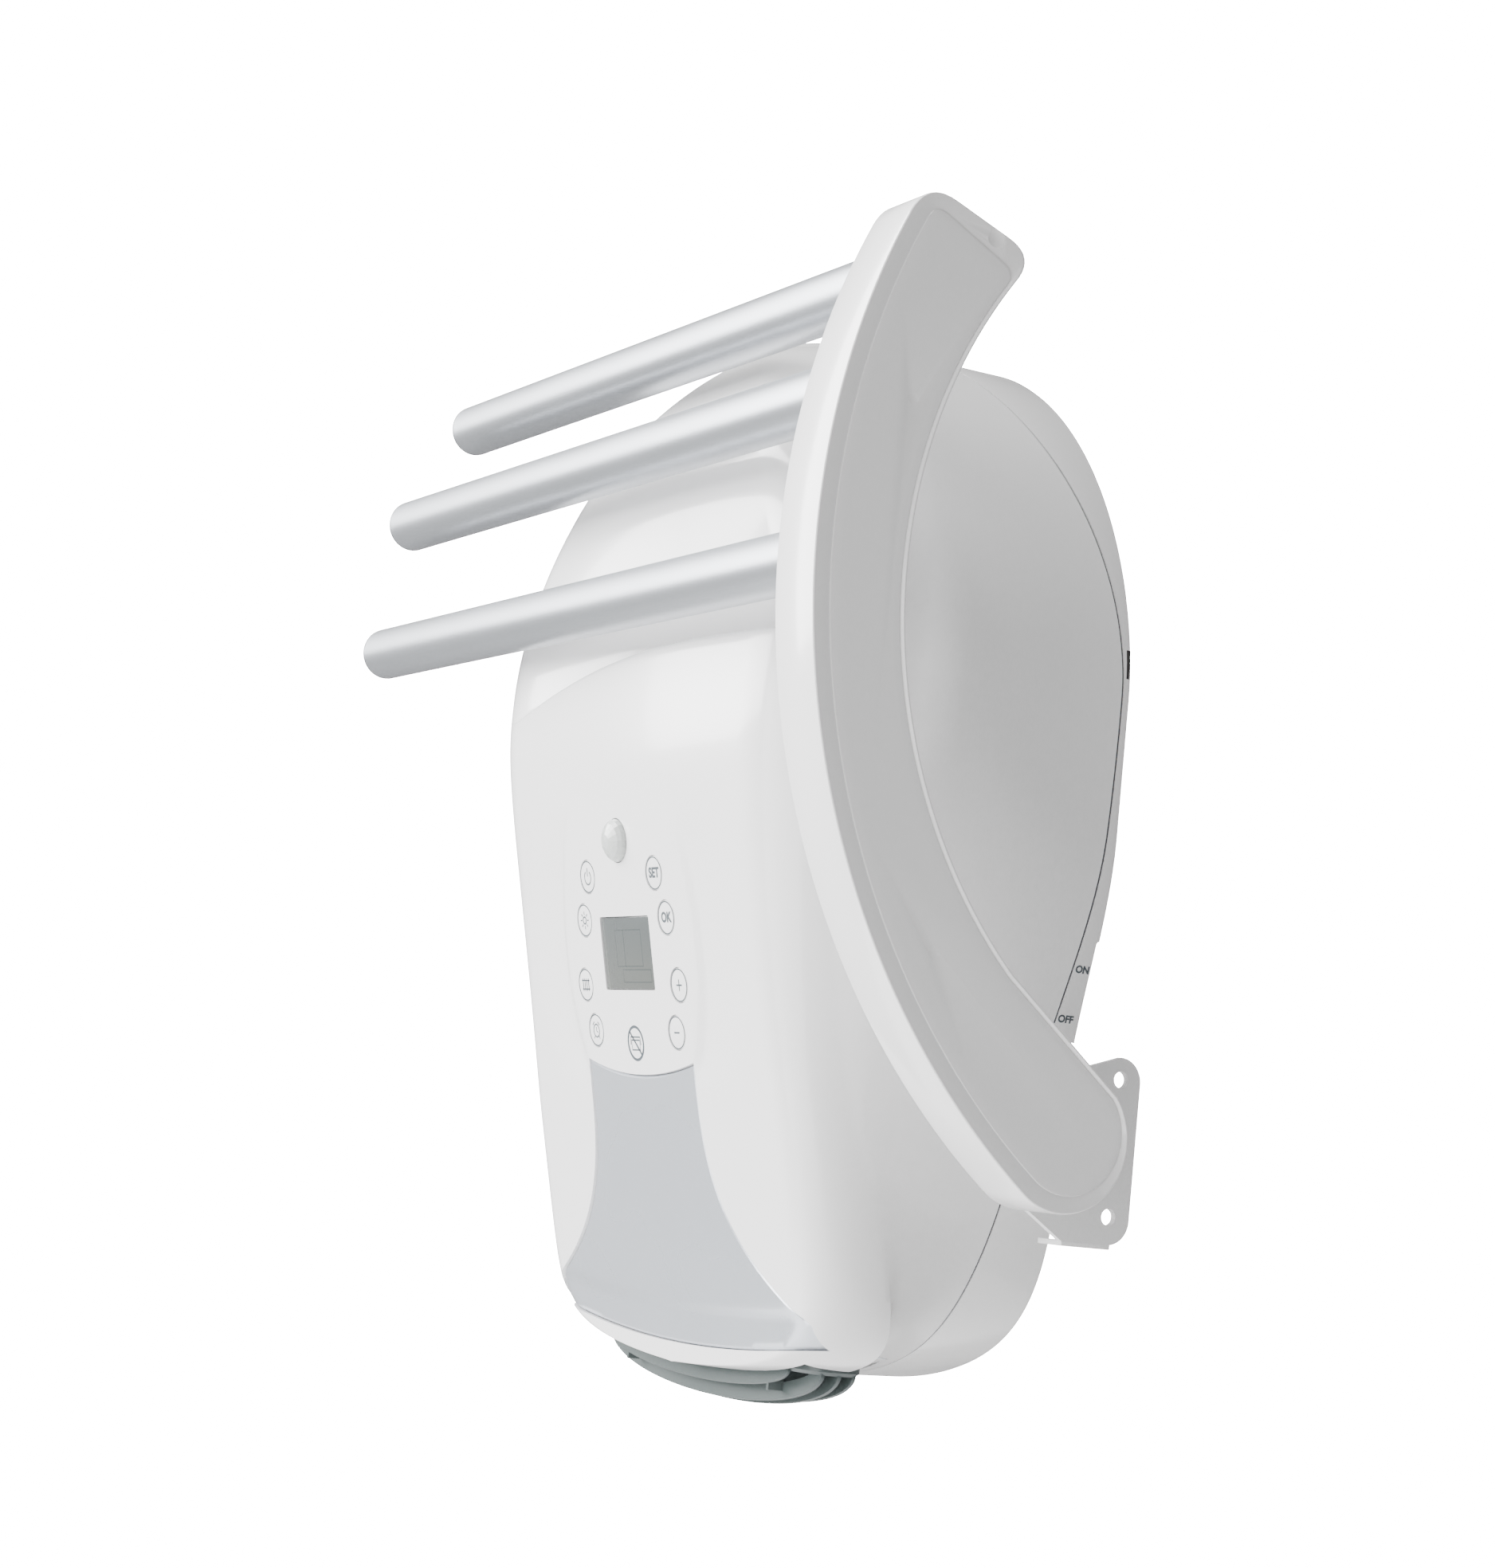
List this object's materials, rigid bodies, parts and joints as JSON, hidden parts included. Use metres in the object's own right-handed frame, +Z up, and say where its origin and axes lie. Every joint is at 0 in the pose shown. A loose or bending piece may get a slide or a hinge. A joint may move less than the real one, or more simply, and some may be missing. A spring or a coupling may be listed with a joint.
{
  "type": "wall-mounted bathroom fan heater with drying rack",
  "caption": "Wall fan heater for a bathroom with a downward warm-air outlet, round keys, a display and a swing-out rack of bars for drying.",
  "frame": {"origin": "on the wall plane, on the housing's plane of symmetry, at the height of the wall plate's middle part", "axes": "+X to the right seen from the front, +Y into the wall, +Z up"},
  "size_m": [0.4116, 0.1765, 0.4241],
  "materials": {
    "gloss_white": "gloss injection-moulded white ABS",
    "silver_paint": "blue-grey silver lacquer on plastic",
    "grille_grey": "dark grey-green moulded plastic",
    "lens_white": "milky faceted polyethylene lens",
    "display_glass": "clear window over a grey-green liquid crystal display",
    "board_green": "green solder-masked circuit board",
    "black_plastic": "black heat-resistant plastic",
    "rubber": "black silicone rubber",
    "filter_mesh": "woven nylon dust mesh",
    "fan_grey": "glass-filled grey plastic",
    "steel_white": "white powder-coated steel",
    "zinc_steel": "zinc-plated steel",
    "bronze": "sintered bronze",
    "heater_alloy": "aluminium fins on ceramic heating stones",
    "satin_aluminium": "satin anodised aluminium"
  },
  "bodies": {
    "housing": {"front_shell": "gloss_white", "rear_shell": "gloss_white", "intake_grille": "gloss_white", "decor_panel": "silver_paint", "outlet_grille": "grille_grey", "sensor_lens": "lens_white", "display_window": "display_glass", "control_board": "board_green", "power_board": "board_green", "display_module": "black_plastic", "relay_pair": "black_plastic", "switch_housing": "black_plastic", "heater_frame": "black_plastic", "outlet_duct": "black_plastic", "fan_scroll": "black_plastic", "pivot_spacer": "black_plastic", "key_mat": "rubber", "cable_grommet": "rubber", "friction_washer": "rubber", "dust_filter": "filter_mesh", "arm_bracket": "steel_white", "terminal_block": "steel_white", "wall_plate": "zinc_steel", "pivot_bolt": "zinc_steel", "pivot_nut": "zinc_steel", "fan_end_left": "zinc_steel", "fan_end_right": "zinc_steel", "motor_stator": "zinc_steel", "motion_sensor": "zinc_steel", "thermal_cutout": "zinc_steel", "shell_screw_left": "zinc_steel", "shell_screw_right": "zinc_steel", "fan_bush_left": "bronze", "fan_bush_right": "bronze", "heater_element": "heater_alloy"},
    "rack": {"arm_shell": "gloss_white", "arm_core": "zinc_steel", "arm_inner_cover": "gloss_white", "bar_lower": "satin_aluminium", "bar_middle": "satin_aluminium", "bar_upper": "satin_aluminium", "bar_cap_lower": "satin_aluminium", "bar_cap_middle": "satin_aluminium", "bar_cap_upper": "satin_aluminium", "bar_bolt_lower": "zinc_steel", "bar_bolt_middle": "zinc_steel", "bar_bolt_upper": "zinc_steel"},
    "fan": {"fan_impeller": "fan_grey", "fan_shaft": "zinc_steel", "motor_rotor": "zinc_steel"},
    "rocker": {"rocker": "black_plastic"},
    "key_power": {"key_power": "gloss_white"},
    "key_lamp": {"key_lamp": "gloss_white"},
    "key_towel": {"key_towel": "gloss_white"},
    "key_alarm": {"key_alarm": "gloss_white"},
    "key_set": {"key_set": "gloss_white"},
    "key_ok": {"key_ok": "gloss_white"},
    "key_plus": {"key_plus": "gloss_white"},
    "key_minus": {"key_minus": "gloss_white"}
  },
  "joints": [
    {"name": "rack_swing", "type": "hinge", "parent": "housing", "child": "rack", "pos_m": [0, -0.057, -0.1308], "axis": [1, 0, 0], "range_deg": [0, 90]},
    {"name": "fan_spin", "type": "hinge", "parent": "housing", "child": "fan", "pos_m": [0, -0.066, -0.052], "axis": [1, 0, 0], "continuous": true},
    {"name": "main_switch", "type": "hinge", "parent": "housing", "child": "rocker", "pos_m": [0.1036, -0.009, -0.077], "axis": [0, 1, 0], "range_deg": [0, 16]},
    {"name": "press_power", "type": "slide", "parent": "housing", "child": "key_power", "axis": [0, 0.9744, 0.225], "range_m": [0, 0.0008], "stiffness_N_per_m": 900, "springref_m": -0.0004},
    {"name": "press_lamp", "type": "slide", "parent": "housing", "child": "key_lamp", "axis": [0, 0.9744, 0.225], "range_m": [0, 0.0008], "stiffness_N_per_m": 900, "springref_m": -0.0004},
    {"name": "press_towel", "type": "slide", "parent": "housing", "child": "key_towel", "axis": [0, 0.9744, 0.225], "range_m": [0, 0.0008], "stiffness_N_per_m": 900, "springref_m": -0.0004},
    {"name": "press_alarm", "type": "slide", "parent": "housing", "child": "key_alarm", "axis": [0, 0.9744, 0.225], "range_m": [0, 0.0008], "stiffness_N_per_m": 900, "springref_m": -0.0004},
    {"name": "press_set", "type": "slide", "parent": "housing", "child": "key_set", "axis": [0, 0.9744, 0.225], "range_m": [0, 0.0008], "stiffness_N_per_m": 900, "springref_m": -0.0004},
    {"name": "press_ok", "type": "slide", "parent": "housing", "child": "key_ok", "axis": [0, 0.9744, 0.225], "range_m": [0, 0.0008], "stiffness_N_per_m": 900, "springref_m": -0.0004},
    {"name": "press_plus", "type": "slide", "parent": "housing", "child": "key_plus", "axis": [0, 0.9744, 0.225], "range_m": [0, 0.0008], "stiffness_N_per_m": 900, "springref_m": -0.0004},
    {"name": "press_minus", "type": "slide", "parent": "housing", "child": "key_minus", "axis": [0, 0.9744, 0.225], "range_m": [0, 0.0008], "stiffness_N_per_m": 900, "springref_m": -0.0004}
  ]
}
